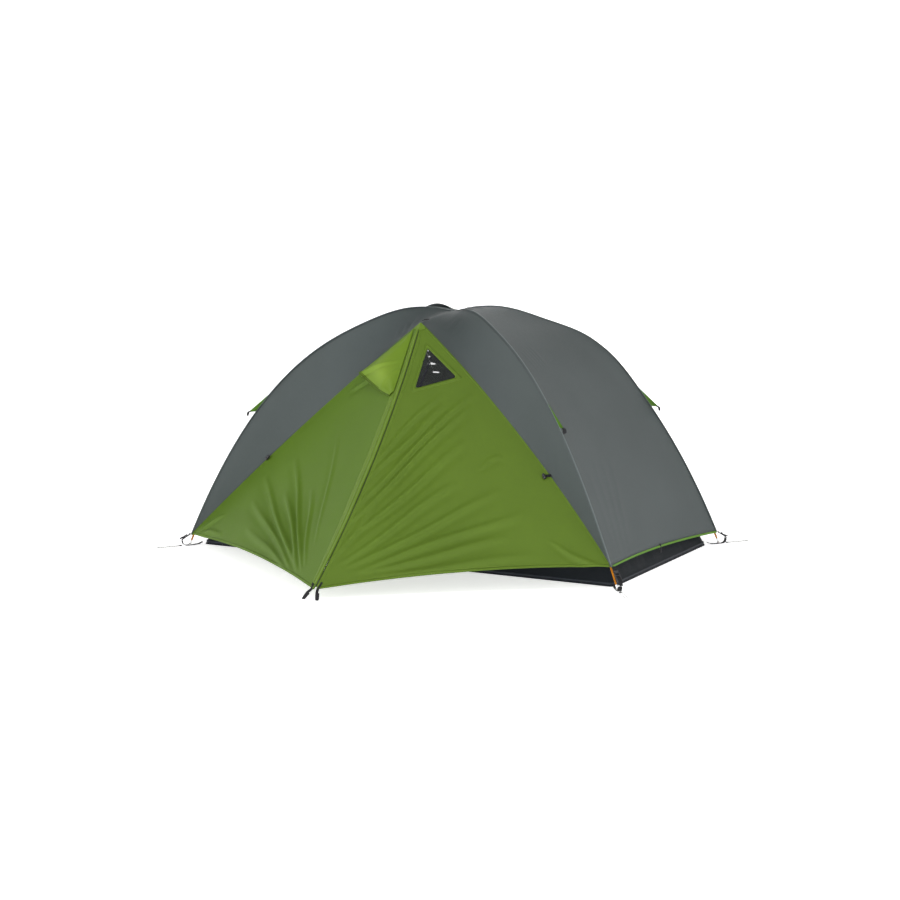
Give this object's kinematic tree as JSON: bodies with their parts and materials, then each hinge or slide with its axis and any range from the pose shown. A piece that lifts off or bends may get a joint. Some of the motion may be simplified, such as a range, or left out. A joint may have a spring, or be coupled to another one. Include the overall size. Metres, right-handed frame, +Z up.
{
  "type": "dome tent",
  "caption": "Free-standing dome tent on crossing arch poles, with a rain fly, zipped vestibule doors front and back, vents, windows and an inner tent with a tub floor.",
  "frame": {"origin": "on the ground under the pole crossing, in the middle of the tent", "axes": "+Z up; +Y from the front door to the back door; +X along the tent's sleeping length, to the right seen from the front door"},
  "size_m": [2.4302, 2.7824, 1.1184],
  "materials": {
    "fly_cloth": "coated polyester, dark grey",
    "door_cloth": "coated polyester, leaf green",
    "hood_cloth": "thin coated polyester, light green",
    "tub_cloth": "heavy coated floor cloth, near black",
    "inner_cloth": "breathable inner cloth, light grey",
    "mesh": "insect mesh, black",
    "clear_film": "clear window film",
    "pole": "anodised orange tube",
    "webbing": "woven black webbing",
    "black_plastic": "moulded black plastic",
    "cord": "braided grey cord"
  },
  "bodies": {
    "root": {"front_vent_side_gusset": "fly_cloth", "front_window_side_gusset": "fly_cloth", "front_inner_wall": "inner_cloth", "front_left_corner_strap": "webbing", "front_left_fly_buckle": "black_plastic", "front_left_guy_out": "door_cloth", "front_left_stake_cord": "cord", "front_right_corner_strap": "webbing", "front_right_fly_buckle": "black_plastic", "front_right_guy_out": "door_cloth", "front_right_stake_cord": "cord", "back_vent_side_gusset": "fly_cloth", "back_window_side_gusset": "fly_cloth", "back_inner_wall": "inner_cloth", "back_left_corner_strap": "webbing", "back_left_fly_buckle": "black_plastic", "back_left_guy_out": "door_cloth", "back_left_stake_cord": "cord", "back_right_corner_strap": "webbing", "back_right_fly_buckle": "black_plastic", "back_right_guy_out": "door_cloth", "back_right_stake_cord": "cord", "fly_right_end": "fly_cloth", "fly_left_end": "fly_cloth", "floor_tub": "tub_cloth", "inner_right_end": "inner_cloth", "inner_left_end": "inner_cloth", "brow_pole": "pole", "pole_a_section_1": "pole", "pole_a_section_2": "pole", "pole_a_section_3": "pole", "pole_a_section_4": "pole", "pole_a_section_5": "pole", "pole_a_section_6": "pole", "pole_a_section_7": "pole", "pole_b_section_1": "pole", "pole_b_section_2": "pole", "pole_b_section_3": "pole", "pole_b_section_4": "pole", "pole_b_section_5": "pole", "pole_b_section_6": "pole", "pole_b_section_7": "pole"},
    "front_door_vent": {"front_door_vent_half": "door_cloth", "front_vent_mesh": "mesh"},
    "front_storm_flap": {"front_storm_flap": "door_cloth"},
    "front_vent_hood": {"front_vent_hood": "hood_cloth"},
    "front_vent_strut": {"front_vent_strut": "black_plastic"},
    "front_door_window": {"front_door_window_half": "door_cloth", "front_window_pane": "clear_film"},
    "front_zip_slider": {"front_zip_slider": "black_plastic"},
    "front_inner_door": {"front_inner_door": "mesh"},
    "back_door_vent": {"back_door_vent_half": "door_cloth", "back_vent_mesh": "mesh"},
    "back_storm_flap": {"back_storm_flap": "door_cloth"},
    "back_vent_hood": {"back_vent_hood": "hood_cloth"},
    "back_vent_strut": {"back_vent_strut": "black_plastic"},
    "back_door_window": {"back_door_window_half": "door_cloth", "back_window_pane": "clear_film"},
    "back_zip_slider": {"back_zip_slider": "black_plastic"},
    "back_inner_door": {"back_inner_door": "mesh"}
  },
  "joints": [
    {"name": "front_door_vent_swing", "type": "hinge", "parent": "root", "child": "front_door_vent", "pos_m": [0, -0.34, 1.094], "axis": [-0.7157, -0.1715, -0.677], "range_deg": [0, 90]},
    {"name": "front_door_window_swing", "type": "hinge", "parent": "root", "child": "front_door_window", "pos_m": [0, -0.34, 1.094], "axis": [-0.7248, 0.1733, 0.6668], "range_deg": [0, 90]},
    {"name": "front_storm_flap_lift", "type": "hinge", "parent": "front_door_vent", "child": "front_storm_flap", "pos_m": [-0.03402, -0.35773, 1.05432], "axis": [0.0204, -0.7022, -0.7117], "range_deg": [0, 80]},
    {"name": "front_vent_hood_fold", "type": "hinge", "parent": "front_door_vent", "child": "front_vent_hood", "pos_m": [-0.03944, -0.36347, 1.04859], "axis": [-0.0204, 0.7022, 0.7117], "range_deg": [-10.5, 0]},
    {"name": "front_vent_strut_fold", "type": "hinge", "parent": "front_vent_hood", "child": "front_vent_strut", "pos_m": [-0.13638, -0.52437, 0.85048], "axis": [0.9746, -0.145, 0.1709], "range_deg": [0, 50.1]},
    {"name": "front_zip_slide", "type": "slide", "parent": "front_door_window", "child": "front_zip_slider", "axis": [-0.0204, 0.7022, 0.7117], "range_m": [0, 1.36]},
    {"name": "front_inner_door_swing", "type": "hinge", "parent": "root", "child": "front_inner_door", "pos_m": [-0.44, -0.51208, 0.19011], "axis": [0.2209, 0.3027, 0.9271], "range_deg": [0, 70]},
    {"name": "back_door_vent_swing", "type": "hinge", "parent": "root", "child": "back_door_vent", "pos_m": [0, 0.34, 1.094], "axis": [0.7157, 0.1715, -0.677], "range_deg": [0, 90]},
    {"name": "back_door_window_swing", "type": "hinge", "parent": "root", "child": "back_door_window", "pos_m": [0, 0.34, 1.094], "axis": [0.7248, -0.1733, 0.6668], "range_deg": [0, 90]},
    {"name": "back_storm_flap_lift", "type": "hinge", "parent": "back_door_vent", "child": "back_storm_flap", "pos_m": [0.03402, 0.35773, 1.05432], "axis": [-0.0204, 0.7022, -0.7117], "range_deg": [0, 80]},
    {"name": "back_vent_hood_fold", "type": "hinge", "parent": "back_door_vent", "child": "back_vent_hood", "pos_m": [0.03944, 0.36347, 1.04859], "axis": [0.0204, -0.7022, 0.7117], "range_deg": [-10.5, 0]},
    {"name": "back_vent_strut_fold", "type": "hinge", "parent": "back_vent_hood", "child": "back_vent_strut", "pos_m": [0.13638, 0.52437, 0.85048], "axis": [-0.9746, 0.145, 0.1709], "range_deg": [0, 50.1]},
    {"name": "back_zip_slide", "type": "slide", "parent": "back_door_window", "child": "back_zip_slider", "axis": [0.0204, -0.7022, 0.7117], "range_m": [0, 1.36]},
    {"name": "back_inner_door_swing", "type": "hinge", "parent": "root", "child": "back_inner_door", "pos_m": [0.44, 0.51208, 0.19011], "axis": [-0.2209, -0.3027, 0.9271], "range_deg": [0, 70]}
  ],
  "couplings": [
    {"joint": "front_vent_strut_fold", "follows": "front_vent_hood_fold", "ratio": -4.7619},
    {"joint": "back_vent_strut_fold", "follows": "back_vent_hood_fold", "ratio": -4.7619}
  ]
}
